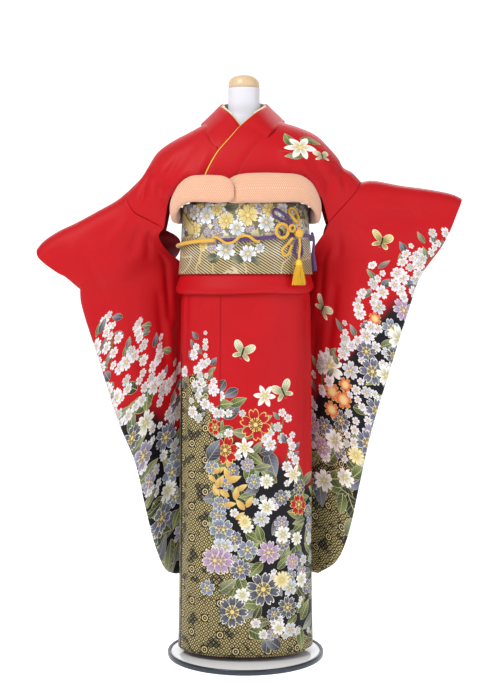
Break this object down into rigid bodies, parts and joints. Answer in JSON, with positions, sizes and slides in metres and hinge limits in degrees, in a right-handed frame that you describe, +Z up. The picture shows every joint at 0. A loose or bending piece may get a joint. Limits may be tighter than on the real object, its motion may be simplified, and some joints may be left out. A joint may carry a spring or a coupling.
{
  "type": "furisode kimono on a dress form stand",
  "caption": "Long-sleeved silk furisode kimono with obi, bustle scarf and cord, worn by a limbless dress form on a round stand.",
  "frame": {"origin": "middle of the underside of the round stand plate", "axes": "+Z up along the pole, the front of the garment faces -Y, +X is the wearer's left"},
  "size_m": [1.101, 0.432, 1.5083],
  "materials": {
    "silk_red": "satin silk, dyed scarlet",
    "silk_printed": "satin silk, dyed scarlet to black with flowers and gold lattice",
    "silk_yellow": "crisp silk",
    "silk_white": "matt crepe",
    "brocade": "woven brocade with gold thread",
    "scarf_silk": "tie-dyed crepe",
    "cord_purple": "braided silk",
    "cord_yellow": "braided silk",
    "form_cover": "smooth knit cover",
    "wood": "clear varnish",
    "white_gloss": "high gloss",
    "steel": "satin"
  },
  "bodies": {
    "root": {"body_right": "silk_red", "body_left": "silk_red", "collar": "silk_red", "waist_tuck": "silk_red", "sleeve_right": "silk_printed", "sleeve_left": "silk_printed", "skirt_front_right": "silk_red", "overlap_right": "silk_red", "skirt_front_left": "silk_printed", "overlap_left": "silk_printed", "skirt_back_right": "silk_printed", "skirt_back_left": "silk_printed", "collar_accent": "silk_yellow", "collar_inner": "silk_white", "obi_band": "brocade", "obi_corner": "brocade", "obi_drum": "brocade", "obi_tail": "brocade", "obiage_right": "scarf_silk", "obiage_left": "scarf_silk", "obijime_round": "cord_purple", "obijime_twist": "cord_yellow", "obijime_knot": "cord_yellow", "obijime_loop_up_a": "cord_purple", "obijime_loop_up_b": "cord_yellow", "obijime_loop_low_a": "cord_purple", "obijime_loop_low_b": "cord_yellow", "obijime_ring_1": "cord_yellow", "obijime_ring_2": "cord_yellow", "obijime_tassel": "cord_yellow", "obijime_hanger": "cord_yellow", "obijime_end": "cord_purple", "dress_form": "form_cover", "neck_cap": "wood", "stand_plate": "white_gloss", "stand_rim": "steel", "stand_pole": "steel"}
  },
  "joints": []
}
